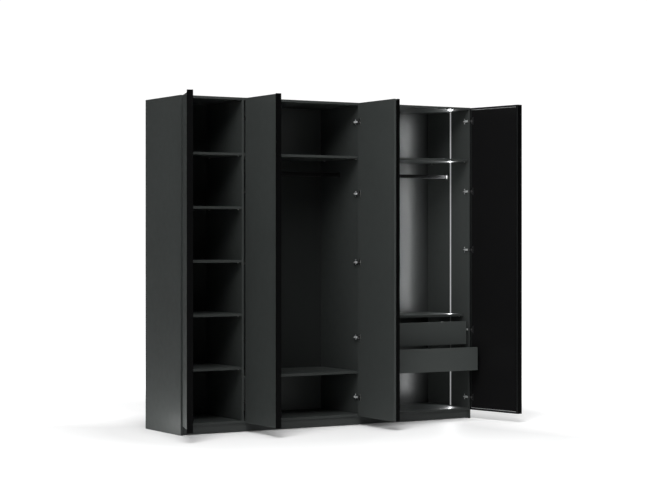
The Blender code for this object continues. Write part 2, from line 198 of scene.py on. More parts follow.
# painted light: the drawer fronts in a 42 % lighter copy of the graphite foil
DRAWER_FOIL_PAINTED_LIGHT = surface("graphite_drawer_front_foil_painted_light", times(GRAPHITE, 1.42), 0.40,
                      spec=0.14, cloud_scale=2.6)
FOIL_SHELF = surface("graphite_shelf_foil", GRAPHITE, 0.44, spec=0.14, cloud_scale=3.1)
# painted shade and painted light on the back panels' inner faces, which one plane splits from their
# rear faces: the left and middle panels face their bays in a darker copy of the foil (painted
# shade), the right one in a lighter, glossier copy (painted light); each rear face takes about the
# other tone
REAR = ((0.0, 1.0, 0.0), (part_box("back_panel_right")[0].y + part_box("back_panel_right")[1].y) / 2)
BACK_FOIL_PAINTED_SHADE = surface("graphite_back_foil", (0.0150, 0.0165, 0.0160), 0.38, spec=0.10,
                    cloud_scale=1.3, grain=0.10, rough_var=0.03,
                    face=(*REAR, (0.0300, 0.0320, 0.0310)))
# painted light: the right back panel's inner face, beside the light strip, in a lighter, glossier
# copy of the back foil
BACK_FOIL_PAINTED_LIGHT = surface("graphite_back_foil_right_painted_light", (0.030, 0.032, 0.0315), 0.32,
                        spec=0.42, cloud_scale=1.3, grain=0.10, rough_var=0.03,
                        face=(*REAR, (0.0160, 0.0172, 0.0168)))
PLINTH = surface("graphite_plinth_foil", (0.030, 0.0330, 0.0320), 0.46, spec=0.3)
EDGE = surface("graphite_edge_band", (0.036, 0.0395, 0.0385), 0.33, spec=0.35,
               grain=0.04, bump=0.06)
# painted highlight: the bevel faces of the boards in a lighter, glossier copy of the foil
EDGE_HIGHLIGHT = surface("painted_edge_highlight", (0.038, 0.042, 0.041), 0.36, spec=0.14,
                    grain=0.10, grain_scale=260.0, bump=0.05)
DRAWER_BOARD = surface("drawer_box_foil", (0.027, 0.0295, 0.0290), 0.50, spec=0.3)
PROFILE = surface("black_anodised_profile", (0.0016, 0.0016, 0.0017), 0.36,
                  spec=0.035, grain=0.16, grain_scale=700.0, bump=0.10,
                  stretch=(1, 1, 0.02), rough_var=0.06)
GLASS = surface("dark_mirror_glass", (0.0056, 0.0056, 0.0058), 0.035, spec=0.12,
                cloud=0.02, grain=0.01, rough_var=0.008, bump=0.01,
                bump_scale=9.0, bump_dist=0.0001)
# painted highlight: a bright material for the strips along the mirror's top and bottom edges
MIRROR_EDGE_HIGHLIGHT = surface("mirror_edge_painted_highlight", (0.42, 0.43, 0.43), 0.30, metal=0.25,
                     spec=0.5, grain=0.05, rough_var=0.03, bump=0.05)
NICKEL = surface("nickel_plate", (0.66, 0.66, 0.65), 0.27, metal=0.9, cloud=0.03,
                 cloud_scale=30.0, grain=0.06, rough_var=0.05, bump=0.06)
# painted shade: a near-black copy of the nickel plate for the hinge links, screws and small parts
NICKEL_PAINTED_DEEP_SHADE = surface("nickel_shadowed", (0.09, 0.09, 0.09), 0.34, metal=1.0,
                      cloud=0.04, cloud_scale=30.0, grain=0.1)
# painted light: a lighter, more diffuse copy of the nickel plate
NICKEL_PAINTED_LIGHT = surface("nickel_plate_painted_light", (0.62, 0.64, 0.64), 0.36, metal=0.30,
                        cloud=0.03, cloud_scale=30.0, grain=0.06, rough_var=0.05, bump=0.06)
# painted shade: a darker copy of the nickel plate
NICKEL_PAINTED_SHADE = surface("nickel_plate_painted_shade", (0.30, 0.30, 0.295), 0.30, metal=1.0,
                     cloud=0.03, cloud_scale=30.0, grain=0.06, rough_var=0.05, bump=0.06)
BLACK_NICKEL = surface("black_nickel_plate", (0.012, 0.012, 0.0125), 0.30, spec=0.25,
                       cloud=0.03, cloud_scale=30.0, grain=0.06, bump=0.06)
ZINC = surface("zinc_plated_steel", (0.42, 0.43, 0.44), 0.32, metal=1.0, cloud=0.06,
               cloud_scale=20.0, grain=0.10, stretch=(1, 0.06, 1), rough_var=0.07)
RAIL = surface("black_powder_coat", (0.0045, 0.0045, 0.0048), 0.40, spec=0.10,
               grain=0.14, grain_scale=1400.0, bump=0.30, bump_scale=1600.0)
ALUMINIUM = surface("satin_aluminium", (0.62, 0.62, 0.61), 0.30, metal=1.0,
                    grain=0.08, stretch=(1, 1, 0.03), rough_var=0.05)
PLASTIC = surface("black_plastic", (0.008, 0.008, 0.008), 0.48, spec=0.35,
                  grain=0.12, bump=0.25)


LIT_GAP = (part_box("drawer_lower_side_right")[0].z - 0.012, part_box("shelf_right_lower")[0].z)


def light_cover_material():
    net = Net("lit_diffuser")
    bands = net.noise(60.0, 1.0, 0.4, (0.0, 0.0, 1.0))
    colour = net.mix(net.remap(bands, 0.35, 0.65, 0.0, 1.0), (0.30, 0.305, 0.31),
                     (0.31, 0.31, 0.305))
    net.link(colour, net.bsdf.inputs["Base Color"])
    net.bsdf.inputs["Emission Color"].default_value = (0.98, 0.99, 1.0, 1.0)
    split = net.add("ShaderNodeSeparateXYZ")
    net.link(net.object, split.inputs[0])
    height = split.outputs[2]
    below = net.math("LESS_THAN", height, LIT_GAP[0])
    above = net.math("GREATER_THAN", height, LIT_GAP[1])
    net.link(net.math("MULTIPLY", net.math("ADD", below, above), 0.30),
             net.bsdf.inputs["Emission Strength"])
    net.bsdf.inputs["Roughness"].default_value = 0.45
    net.bump(net.noise(2200.0, 2.0), 0.1, 0.00003)
    return net.mat


GLOW = light_cover_material()


# ------------------------------------------------------------- the CAD's boards
def dress(node, *materials, bevel=0.0007, segments=2, line=True):
    """Fine edge roundings and a finish on a CAD node; its mesh and its place
    stay as they are. With line set, the roundings get a painted edge highlight."""
    obj = NODES[node]
    mesh = obj.data
    custom = mesh.attributes.get("custom_normal")
    if custom is not None:
        mesh.attributes.remove(custom)
    mesh.materials.clear()
    for mat in materials:
        mesh.materials.append(mat)
    for poly in mesh.polygons:
        poly.use_smooth = True
        poly.material_index = 0
    weld = obj.modifiers.new("weld", "WELD")
    weld.merge_threshold = 0.00001
    flat = obj.modifiers.new("planes", "DECIMATE")
    flat.decimate_type = "DISSOLVE"
    flat.angle_limit = math.radians(1.0)
    if bevel:
        if line:
            mesh.materials.append(EDGE_HIGHLIGHT)
        mod = obj.modifiers.new("eased_edges", "BEVEL")
        mod.width = bevel
        mod.segments = segments
        mod.limit_method = "ANGLE"
        mod.angle_limit = math.radians(40)
        mod.harden_normals = True
        mod.use_clamp_overlap = True
        if line:
            mod.material = len(mesh.materials) - 1
    return obj


for n in ("side_panel_left", "side_panel_right", "divider_left", "divider_right",
          "top_panel", "bottom_panel"):
    dress(n, FOIL)
for n in NODES:
    if n.startswith("shelf_"):
        dress(n, FOIL_SHELF)
    elif n.startswith("back_panel_"):
        dress(n, BACK_FOIL_PAINTED_LIGHT if n.endswith("right") else BACK_FOIL_PAINTED_SHADE, bevel=0.0004)
    elif n.startswith("plinth_"):
        dress(n, PLINTH)
    elif n.startswith("door_") and n.endswith("_leaf"):
        dress(n, DOOR_FOIL_PAINTED_LIGHT)
    elif n.endswith("_grip_profile"):
        dress(n, PROFILE, bevel=0.0004, line=False)
    elif n == "door_5_mirror":
        dress(n, GLASS, bevel=0.0004, line=False)
    elif n.startswith("drawer_") and n.endswith("_front"):
        dress(n, DRAWER_FOIL_PAINTED_LIGHT)
    elif n.startswith("drawer_"):
        dress(n, DRAWER_BOARD, bevel=0.0005)
    elif n.startswith("runner_"):
        dress(n, ZINC, bevel=0.0006, line=False)
    elif n.startswith("hanging_rail_"):
        dress(n, RAIL, bevel=0.0, line=False)
    elif n == "light_channel":
        dress(n, PROFILE, bevel=0.0002, line=False)
    elif n == "light_cover":
        dress(n, GLOW, bevel=0.0006, line=False)
    elif "_hinge_" in n:
        dress(n, NICKEL, bevel=0.0, line=False)

# --------------------------------------------------------------- detail pieces
HINGES = {}                                # door number -> heights of its hinges
SHARP = math.radians(32)


def piece(name, bm, body, slot, *materials, bevel=0.0, replaced=()):
    """The finished mesh of one piece, riding on its body."""
    bmesh.ops.remove_doubles(bm, verts=bm.verts, dist=1e-7)
    bmesh.ops.recalc_face_normals(bm, faces=bm.faces)
    for face in bm.faces:
        face.smooth = True
    for edge in bm.edges:
        if len(edge.link_faces) == 2 and edge.calc_face_angle(0.0) > SHARP:
            edge.smooth = False
    mesh = bpy.data.meshes.new(name)
    bm.to_mesh(mesh)
    bm.free()
    for mat in materials:
        mesh.materials.append(mat)
    obj = bpy.data.objects.new(name, mesh)
    SCENE.collection.objects.link(obj)
    if bevel:
        mod = obj.modifiers.new("eased_edges", "BEVEL")
        mod.width = bevel
        mod.segments = 2
        mod.limit_method = "ANGLE"
        mod.angle_limit = math.radians(40)
        mod.harden_normals = True
        mod.use_clamp_overlap = True
    if body:
        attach(obj, body)
    if replaced:
        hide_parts(*replaced)
    return obj


def prism(bm, f, outline, t0, t1, mat=0):
    """An outline extruded from t0 to t1; f places (p, q, t)."""
    low = [bm.verts.new(f(p, q, t0)) for p, q in outline]
    high = [bm.verts.new(f(p, q, t1)) for p, q in outline]
    faces = [bm.faces.new(low[::-1]), bm.faces.new(high)]
    for i in range(len(outline)):
        j = (i + 1) % len(outline)
        faces.append(bm.faces.new((low[i], low[j], high[j], high[i])))
    for face in faces:
        face.material_index = mat


def rounded(p0, p1, q0, q1, radius, steps=5):
    """The corners of a rectangle with rounded corners."""
    radius = min(radius, (p1 - p0) / 2 - 1e-6, (q1 - q0) / 2 - 1e-6)
    out = []
    for cp, cq, start in ((p1 - radius, q1 - radius, 0), (p0 + radius, q1 - radius, 90),
                          (p0 + radius, q0 + radius, 180), (p1 - radius, q0 + radius, 270)):
        for i in range(steps + 1):
            a = math.radians(start + 90 * i / steps)
            out.append((cp + radius * math.cos(a), cq + radius * math.sin(a)))
    return out


def lathe(bm, f, cp, cq, profile, steps=32, mat=0):
    """A closed turned body: profile rows are (radius, t)."""
    rings = []
    for r, t in profile:
        if r < 1e-7:
            rings.append([bm.verts.new(f(cp, cq, t))])
        else:
            rings.append([bm.verts.new(f(cp + r * math.cos(2 * math.pi * i / steps),
                                         cq + r * math.sin(2 * math.pi * i / steps), t))
                          for i in range(steps)])
    for a, b in zip(rings, rings[1:]):
        for i in range(steps):
            j = (i + 1) % steps
            if len(a) == 1:
                face = bm.faces.new((a[0], b[j], b[i]))
            elif len(b) == 1:
                face = bm.faces.new((a[i], a[j], b[0]))
            else:
                face = bm.faces.new((a[i], a[j], b[j], b[i]))
            face.material_index = mat


def stitch(bm, a, b, mat=0):
    """Faces between two rings of different counts, both counted round by angle.
    Each ring is a list of (angle, vertex)."""
    i = j = 0
    na, nb = len(a), len(b)
    while i < na or j < nb:
        nexta = a[(i + 1) % na][0] + (2 * math.pi if i + 1 >= na else 0)
        nextb = b[(j + 1) % nb][0] + (2 * math.pi if j + 1 >= nb else 0)
        if j >= nb or (i < na and nexta <= nextb):
            face = bm.faces.new((a[i % na][1], a[(i + 1) % na][1], b[j % nb][1]))
            i += 1
        else:
            face = bm.faces.new((a[i % na][1], b[(j + 1) % nb][1], b[j % nb][1]))
            j += 1
        face.material_index = mat


def screw(bm, f, cp, cq, t, r, height, mat=0, turn=0.0, steps=18):
    """A pan-head screw with a cross recess, standing on t."""
    rows = [(r * 0.98, t), (r, t + height * 0.35), (r * 0.93, t + height * 0.75),
            (r * 0.78, t + height)]
    rings = []
    for radius, level in rows:
        rings.append([(2 * math.pi * i / steps,
                       bm.verts.new(f(cp + radius * math.cos(2 * math.pi * i / steps),
                                      cq + radius * math.sin(2 * math.pi * i / steps), level)))
                      for i in range(steps)])
    for a, b in zip(rings, rings[1:]):
        for i in range(steps):
            j = (i + 1) % steps
            bm.faces.new((a[i][1], a[j][1], b[j][1], b[i][1])).material_index = mat
    bm.faces.new([v for _, v in rings[0]][::-1]).material_index = mat
    w, l = r * 0.13, r * 0.60
    cross = [(l, -w), (l, w), (w, w), (w, l), (-w, l), (-w, w), (-l, w), (-l, -w),
             (-w, -w), (-w, -l), (w, -l), (w, -w)]
    turned = []
    for x, y in cross:
        c, s = math.cos(turn), math.sin(turn)
        turned.append((x * c - y * s, x * s + y * c))
    turned = sorted(((math.atan2(y, x) % (2 * math.pi)), x, y) for x, y in turned)
    upper = [(a, bm.verts.new(f(cp + x, cq + y, t + height))) for a, x, y in turned]
    lower = [bm.verts.new(f(cp + x * 0.75, cq + y * 0.75, t + height * 0.15))
             for a, x, y in turned]
    stitch(bm, rings[-1], upper, mat)
    for i in range(12):
        j = (i + 1) % 12
        bm.faces.new((upper[i][1], upper[j][1], lower[j], lower[i])).material_index = mat
    bm.faces.new(lower).material_index = mat


def hull_radius(angle, reach, ears, ear_r, circle_r):
    """How far the cup's flange reaches in one direction from the cup's centre:
    the outline round the cup circle and two round ears."""
    points = []
    for cx, cy, r in [(0.0, 0.0, circle_r)] + [(reach, e, ear_r) for e in ears]:
        for i in range(48):
            a = 2 * math.pi * i / 48
            points.append((cx + r * math.cos(a), cy + r * math.sin(a)))
    points = sorted(set(points))

    def half(pts):
        out = []
        for p in pts:
            while len(out) > 1 and ((out[-1][0] - out[-2][0]) * (p[1] - out[-2][1])
                                    - (out[-1][1] - out[-2][1]) * (p[0] - out[-2][0])) <= 0:
                out.pop()
            out.append(p)
        return out[:-1]
    hull = half(points) + half(points[::-1])
    dx, dy = math.cos(angle), math.sin(angle)
    best = circle_r
    for (ax, ay), (bx, by) in zip(hull, hull[1:] + hull[:1]):
        ex, ey = bx - ax, by - ay
        det = dx * -ey + dy * ex
        if abs(det) < 1e-15:
            continue
        k = (ax * -ey + ay * ex) / det
        m = (dx * ay - dy * ax) / det
        if -1e-9 <= m <= 1 + 1e-9 and k > best:
            best = k
    return best


FLANGE_STEPS = 56
FLANGE = [hull_radius(2 * math.pi * i / FLANGE_STEPS, 0.0095, (0.0225, -0.0225),
                      0.0062, 0.0178) for i in range(FLANGE_STEPS)]

DOOR_SIZES = {                             # how each door hangs
    1: (1, 0.0, 0.0090, 0.0170), 2: (1, DIV1[0] + SIDE_T / 2, 0.01225, 0.02075),
    3: (-1, DIV2[0] + SIDE_T / 2, 0.01225, 0.02075),
    4: (1, DIV2[0] + SIDE_T / 2, 0.0065, 0.0135), 5: (-1, WIDTH, 0.0030, 0.0088)}
OUTER = (0.165, 0.687, 1.303, 1.753, 2.296)
INNER = (0.207, 0.652, 1.212, 1.723, 2.257)
JOINTS = {j["name"]: j for j in frame["joints"]}

for n, (hand, line, pa, ph) in DOOR_SIZES.items():
    joint = JOINTS["door_%d_hinge" % n]
    opening = math.radians(-joint["range_deg"][0])
    ax, ay = joint["pos_m"][0], joint["pos_m"][1]
    turn = -hand * opening
    c, s = math.cos(turn), math.sin(turn)
    s0, y_in = 0.0015 - pa, -0.003 + ph
    base = SIDE_T if n in (1, 5) else SIDE_T / 2
    r0, r1 = (0.0225, 0.0280) if n != 4 else (0.0135, 0.0190)

    for k, z in enumerate(OUTER if n in (1, 5) else INNER):
        def wall(p, q, t):                 # p depth, q height, t out from the line
            return P(line + hand * t, p, z + q)

        def side(p, q, t):                 # p out from the line, q depth, t height
            return P(line + hand * p, q, z + t)

        def leaf(p, q, t):                 # p from the hinge edge, q height, t proud
            x, y = hand * (s0 + p), y_in + t
            return Vector((ax + x * c - y * s, ay + x * s + y * c, z + q))

        # the arm on its mounting plate
        bm = bmesh.new()
        w0 = base + 0.0003
        prism(bm, wall, rounded(0.0205, 0.0700, -0.0062, 0.0062, 0.002, 3), w0, r0 - 0.0010, 1)
        prism(bm, wall, rounded(0.0440, 0.0590, -0.0235, 0.0235, 0.0068, 5), w0,
              w0 + 0.0021, 1)
        for q, a in ((0.0160, 0.5), (-0.0160, 0.2)):
            screw(bm, wall, 0.0515, q, w0 + 0.0021, 0.0042, 0.0017, 0, a)
        screw(bm, wall, 0.0640, 0.0, r0 - 0.0011, 0.0034, 0.0012, 0, 0.7)
        prism(bm, wall, rounded(-0.0020, 0.0400, -0.0072, 0.0072, 0.0040, 4),
              r1 - 0.0013, r1 - 0.0001)
        prism(bm, wall, rounded(0.0405, 0.0580, -0.0060, 0.0060, 0.0020, 3),
              r0 - 0.0012, r1 - 0.0013, 1)
        for q0, q1 in ((0.0064, 0.0073), (-0.0073, -0.0064)):
            prism(bm, side, [(r1 - 0.0010, -0.0012), (r1 - 0.0010, 0.0395),
                             (r0 - 0.0012, 0.0570), (r0 - 0.0030, 0.0570), (r0 - 0.0030, 0.0160),
                             (r0 - 0.0002, 0.0060), (r0 - 0.0002, -0.0005)], q0, q1)
        screw(bm, wall, 0.0485, 0.0, r1 - 0.0014, 0.0040, 0.0012, 0, 0.3)
        screw(bm, wall, 0.0265, 0.0, r1 - 0.0001, 0.0026, 0.0007, 1, 0.9)
        lathe(bm, side, r0 + 0.0022, 0.0024, [(0, -0.0080), (0.0017, -0.0080),
                                              (0.0017, 0.0080), (0, 0.0080)], 14, 1)
        # the arms of doors 3 and 5 take the painted-light copy of the nickel, the others the darker
        # painted-shade copy
        piece("door_%d_hinge_arm_%d" % (n, k + 1), bm, "carcass", "hinge_metal",
              NICKEL_PAINTED_LIGHT if n in (3, 5) else NICKEL_PAINTED_SHADE, NICKEL_PAINTED_DEEP_SHADE,
              replaced=("door_%d_hinge_arms" % n,))

        # the cup let into the leaf
        bm = bmesh.new()
        lathe(bm, leaf, 0.0225, 0.0, [
            (0, -0.0112), (0.0162, -0.0112), (0.0168, -0.0106), (0.0168, 0.0006),
            (0.0157, 0.0006), (0.0154, -0.0093), (0.0146, -0.0101), (0, -0.0101)], 40, 1)
        rings = []
        for t, k0 in ((0.0003, 0.0155), (0.0012, 0.0155), (0.0015, 0.0158)):
            rings.append([bm.verts.new(leaf(0.0225 + k0 * math.cos(2 * math.pi * i / FLANGE_STEPS),
                                            k0 * math.sin(2 * math.pi * i / FLANGE_STEPS), t))
                          for i in range(FLANGE_STEPS)])
        for t, less in ((0.0015, 0.0003), (0.0012, 0.0), (0.0003, 0.0)):
            rings.append([bm.verts.new(leaf(
                0.0225 + (FLANGE[i] - less) * math.cos(2 * math.pi * i / FLANGE_STEPS),
                (FLANGE[i] - less) * math.sin(2 * math.pi * i / FLANGE_STEPS), t))
                for i in range(FLANGE_STEPS)])
        for a, b in zip(rings, rings[1:] + rings[:1]):
            for i in range(FLANGE_STEPS):
                j = (i + 1) % FLANGE_STEPS
                bm.faces.new((a[i], a[j], b[j], b[i]))
        for q, a in ((0.0225, 0.4), (-0.0225, 0.1)):
            screw(bm, leaf, 0.0320, q, 0.0014, 0.0039, 0.0012, 1, a)
        for q in (0.0110, -0.0110):
            lathe(bm, leaf, 0.0225 + 0.0150, q * 0.35, [
                (0, 0.0014), (0.0007, 0.0014), (0.0007, 0.0018), (0, 0.0018)], 8, 0)
        piece("door_%d_hinge_cup_%d" % (n, k + 1), bm, "door_%d" % n, "hinge_metal",
              *((NICKEL_PAINTED_SHADE, NICKEL_PAINTED_DEEP_SHADE) if n != 5 else (BLACK_NICKEL, BLACK_NICKEL)),
              replaced=("door_%d_hinge_cups" % n,))

        # the cranked link from the nose of the arm over the leaf's edge into the cup
        nose = P(line + hand * (r0 + r1) / 2, 0.0010, z)
        dx, dy = nose.x - ax, nose.y - ay
        lx, ly = dx * c + dy * s, -dx * s + dy * c
        np_, nt = hand * lx - s0, ly - y_in
        path = [(np_, nt), (np_ * 0.55 - 0.001, nt * 0.35 + 0.0012), (-0.0005, 0.0019),
                (0.0060, 0.0019), (0.0120, 0.0006), (0.0180, -0.0045)]
        fine = []
        for a, b, c1, d in zip([path[0]] + path, path, path[1:], path[2:] + [path[-1]]):
            for i in range(4):
                u = i / 4
                fine.append(tuple(
                    0.5 * ((2 * b[m]) + (c1[m] - a[m]) * u
                           + (2 * a[m] - 5 * b[m] + 4 * c1[m] - d[m]) * u * u
                           + (3 * b[m] - a[m] - 3 * c1[m] + d[m]) * u ** 3) for m in (0, 1)))
        fine.append(path[-1])
        half_t = 0.00075
        up, down = [], []
        for i, (p, t) in enumerate(fine):
            a, b = fine[max(0, i - 1)], fine[min(len(fine) - 1, i + 1)]
            tx, ty = b[0] - a[0], b[1] - a[1]
            size = math.hypot(tx, ty)
            up.append((p - ty / size * half_t, t + tx / size * half_t))
            down.append((p + ty / size * half_t, t - tx / size * half_t))
        bm = bmesh.new()
        for q0, q1 in ((-0.0056, -0.0018), (0.0018, 0.0056)):
            rows = []
            for (p1, t1), (p2, t2) in zip(up, down):
                rows.append([bm.verts.new(leaf(p1, q0, t1)), bm.verts.new(leaf(p1, q1, t1)),
                             bm.verts.new(leaf(p2, q1, t2)), bm.verts.new(leaf(p2, q0, t2))])
            bm.faces.new(rows[0])
            bm.faces.new(rows[-1][::-1])
            for a, b in zip(rows, rows[1:]):
                for i in range(4):
                    j = (i + 1) % 4
                    bm.faces.new((a[i], b[i], b[j], a[j]))
        lathe(bm, lambda p, q, t: leaf(p, t, q), 0.0180, -0.0045,
              [(0, -0.0090), (0.0016, -0.0090), (0.0016, 0.0090), (0, 0.0090)], 12)
        link = piece("door_%d_hinge_link_%d" % (n, k + 1), bm, None, "hinge_metal",
                     NICKEL_PAINTED_DEEP_SHADE)
        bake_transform(link)

# ---------------------------------------------------------------- hanging rails
RAIL_STEPS = 44
for word in ("middle", "right"):
    lo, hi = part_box("hanging_rail_" + word)
    yc, zc = (lo.y + hi.y) / 2, (lo.z + hi.z) / 2

    def oval(bm, half_w, half_h, x):
        ring = []
        straight = half_h - half_w
        for i in range(RAIL_STEPS):
            a = 2 * math.pi * (i + 0.5) / RAIL_STEPS
            up = straight if math.sin(a) > 0 else -straight
            ring.append(bm.verts.new((x, yc + half_w * math.cos(a),
                                      zc + half_w * math.sin(a) + up)))
        return ring

    def loft(bm, rings, closed, mat=0):
        for a, b in zip(rings, rings[1:] + (rings[:1] if closed else [])):
            for i in range(RAIL_STEPS):
                j = (i + 1) % RAIL_STEPS
                bm.faces.new((a[i], a[j], b[j], b[i])).material_index = mat

    bm = bmesh.new()
    loft(bm, [oval(bm, 0.0075, 0.0150, lo.x + 0.0020), oval(bm, 0.0075, 0.0150, hi.x - 0.0020),
              oval(bm, 0.0063, 0.0138, hi.x - 0.0020), oval(bm, 0.0063, 0.0138, lo.x + 0.0020)],
         True)
    piece("hanging_rail_tube_" + word, bm, "carcass", "rail_black", RAIL,
          replaced=("hanging_rail_" + word,))
    for end, x, way in (("left", lo.x, 1), ("right", hi.x, -1)):
        bm = bmesh.new()
        rows = ((0.0000, 0.0000), (0.0062, 0.0000), (0.0065, 0.0004), (0.0065, 0.0024),
                (0.0059, 0.0031), (0.0036, 0.0033), (0.0030, 0.0040), (0.0030, 0.0146),
                (0.0026, 0.0152), (0.0003, 0.0154))
        rings = [oval(bm, 0.0075 + g, 0.0150 + g * 0.88, x + way * t) for g, t in rows]
        loft(bm, rings, True)
        for q in (-1, 1):
            screw(bm, lambda p, u, t, q=q: Vector((x + way * 0.0092 + p, yc + u, zc + q * t)),
                  0.0, 0.0, 0.0174, 0.0026, 0.0011, 1)
        # the right rail's right socket is nickel, in the darker painted-shade copy
        piece("rail_socket_%s_%s" % (word, end), bm, "carcass", "rail_black",
              *((NICKEL_PAINTED_SHADE, NICKEL_PAINTED_DEEP_SHADE) if word == "right" and end == "right"
                else (RAIL, PLASTIC)))

# --------------------------------------------------------------- drawer runners
for name in ("upper", "lower"):
    for word in ("left", "right"):
        node = "runner_%s_%s" % (name, word)
        lo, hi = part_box(node)
        way = 1 if word == "left" else -1
        wall_x = lo.x if way > 0 else hi.x
        wide = hi.x - lo.x
        zc = (lo.z + hi.z) / 2

        def channel(z_half, x_open, x_back, thick):
            """A C section: web at x_back, lips turned in at x_open."""
            side = 1 if x_open > x_back else -1
            return [(x_back, -z_half), (x_open, -z_half), (x_open, -z_half + 0.0045),
                    (x_open - side * thick, -z_half + 0.0045),
                    (x_open - side * thick, -z_half + thick),
                    (x_back + side * thick, -z_half + thick),
                    (x_back + side * thick, z_half - thick),
                    (x_open - side * thick, z_half - thick),
                    (x_open - side * thick, z_half - 0.0045), (x_open, z_half - 0.0045),
                    (x_open, z_half), (x_back, z_half)]

        def along(p, q, t):
            return Vector((wall_x + way * p, t, zc + q))

        bm = bmesh.new()
        prism(bm, along, channel(0.0195, 0.0105, 0.0001, 0.0012), lo.y + 0.001, hi.y - 0.001)
        for y in (lo.y + 0.030, (lo.y + hi.y) / 2, hi.y - 0.030):
            screw(bm, lambda p, q, t, y=y: Vector((wall_x + way * t, y + p, zc + q)),
                  0.0, 0.0, 0.0013, 0.0040, 0.0012, 1)
        piece("runner_%s_%s_rail" % (name, word), bm, "carcass", "runner_steel",
              ZINC, NICKEL_PAINTED_DEEP_SHADE, bevel=0.00025, replaced=(node,))
        # the member on the drawer, at the drawer's place in the rest pose
        d_lo, d_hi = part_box("drawer_%s_side_%s" % (name, word))
        bm = bmesh.new()
        prism(bm, along, channel(0.0125, wide - 0.0075, wide - 0.0002, 0.0012),
              d_lo.y + 0.006, d_hi.y - 0.010)
        for y in (d_lo.y + 0.040, d_hi.y - 0.060):
            lathe(bm, lambda p, q, t, y=y: Vector((wall_x + way * t, y + p, zc + q)), 0, 0,
                  [(0, wide - 0.0030), (0.0030, wide - 0.0030), (0.0034, wide - 0.0016),
                   (0, wide - 0.0016)], 14, 1)
        piece("runner_%s_%s_slide" % (name, word), bm, "drawer_" + name, "runner_steel",
              ZINC, NICKEL_PAINTED_DEEP_SHADE, bevel=0.00025, replaced=(node,))

# ------------------------------------- painted highlight: thin bright strips above and below the mirror, for the light its glass edges catch
hand, line, pa, ph = DOOR_SIZES[5]
joint = JOINTS["door_5_hinge"]
ax, ay = joint["pos_m"][0], joint["pos_m"][1]
turn = -hand * math.radians(-joint["range_deg"][0])
c, s = math.cos(turn), math.sin(turn)
s0, y_in = 0.0015 - pa, -0.003 + ph
lo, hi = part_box("door_5_mirror")
leaf_w = 0.4952
for word, z0, z1 in (("top", hi.z - 0.0016, hi.z + 0.0010),
                     ("bottom", lo.z - 0.0010, lo.z + 0.0020)):
    bm = bmesh.new()

    def rim(p, q, t):
        x, y = hand * (s0 + t), y_in + p
        return Vector((ax + x * c - y * s, ay + x * s + y * c, q))

    prism(bm, rim, [(0.0002, z0), (0.0009, z0), (0.0012, z0 + 0.0003),
                    (0.0012, z1 - 0.0003), (0.0009, z1), (0.0002, z1)],
          0.0154, leaf_w - 0.0153)
    piece("door_5_mirror_trim_" + word, bm, "door_5", "dark_mirror", MIRROR_EDGE_HIGHLIGHT)

# painted shade: everything within 0.6 mm of the leaf's inner face, round the mirror and on the hinge
# edge, is near black for the shadow gap between leaf and side panel; the rest of the leaf takes the
# lighter door copy of the foil
normal = Vector((-s, c, 0.0))
corner = Vector((ax + hand * s0 * c - y_in * s, ay + hand * s0 * s + y_in * c, 0.0))
NODES["door_5_leaf"].data.materials[0] = surface(
    "graphite_door_foil_painted_shade_border", times(GRAPHITE, 1.10), 0.40, spec=0.14, cloud_scale=1.7,
    face=(normal, normal.dot(corner) - 0.0006, (0.0034, 0.0034, 0.0036)))

# ------------------------------------------------------------------ shelf pins
for node in sorted(NODES):
    if not node.startswith("shelf_"):
        continue
    lo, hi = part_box(node)
    bm = bmesh.new()
    for x, way in ((lo.x, 1), (hi.x, -1)):
        for y in (lo.y + 0.045, hi.y - 0.060):
            def pin(p, q, t):
                return Vector((x + way * t, y + p, lo.z - 0.0031 + q))
            lathe(bm, pin, 0, 0, [(0, -0.0004), (0.0042, -0.0004), (0.0042, 0.0006),
                                  (0.0025, 0.0007), (0.0025, 0.0080), (0.0021, 0.0085),
                                  (0, 0.0085)], 16)
            prism(bm, pin, rounded(-0.0060, 0.0060, 0.0020, 0.0029, 0.0004, 2),
                  0.0004, 0.0120)
    piece(node + "_pins", bm, "carcass", "hinge_metal", NICKEL)

# ------------------------------------------------- screws that hold the back on
bm = bmesh.new()
for node in ("back_panel_left", "back_panel_middle", "back_panel_right"):
    lo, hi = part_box(node)
    rows = [lo.z + 0.009 + (hi.z - lo.z - 0.018) * i / 9 for i in range(10)]
    spots = [(lo.x + 0.0055, z) for z in rows] + [(hi.x - 0.0055, z) for z in rows]
    cols = max(2, round((hi.x - lo.x) / 0.24))
    for i in range(1, cols):
        x = lo.x + (hi.x - lo.x) * i / cols
        spots += [(x, lo.z + 0.009)]
    for x, z in spots:
        screw(bm, lambda p, q, t: Vector((x + p, hi.y + t, z + q)), 0.0, 0.0, -0.0001,
              0.0038, 0.0015, 0, 0.35 + 7.0 * x + 3.0 * z)
piece("back_panel_screws", bm, "carcass", "hinge_metal", ZINC)

# ------------------------------------------------------------------------ stage
SIDE_EDGE, BACK_EDGE = side_r[1].x + 0.03, side_l[1].y + 0.10
floor_mesh = bpy.data.meshes.new("studio_floor")
bm = bmesh.new()
rings, around = (0.0, 3.0, 8.0, 16.0, 30.0, 60.0), 96
previous = None
centre = bm.verts.new((0, 0, 0))
for r in rings[1:]:
    ring = [bm.verts.new((r * math.cos(2 * math.pi * i / around),
                          r * math.sin(2 * math.pi * i / around), 0))
            for i in range(around)]
    for i in range(around):
        j = (i + 1) % around
        if previous is None:
            bm.faces.new((centre, ring[i], ring[j]))
        else:
            bm.faces.new((previous[i], ring[i], ring[j], previous[j]))
    previous = ring
bm.to_mesh(floor_mesh)
bm.free()
floor = bpy.data.objects.new("studio_floor", floor_mesh)
floor.location.z = -0.0002
SCENE.collection.objects.link(floor)
net = Net("pale_floor")
net.bsdf.inputs["Base Color"].default_value = (0.765, 0.765, 0.765, 1)
net.bsdf.inputs["Roughness"].default_value = 0.55
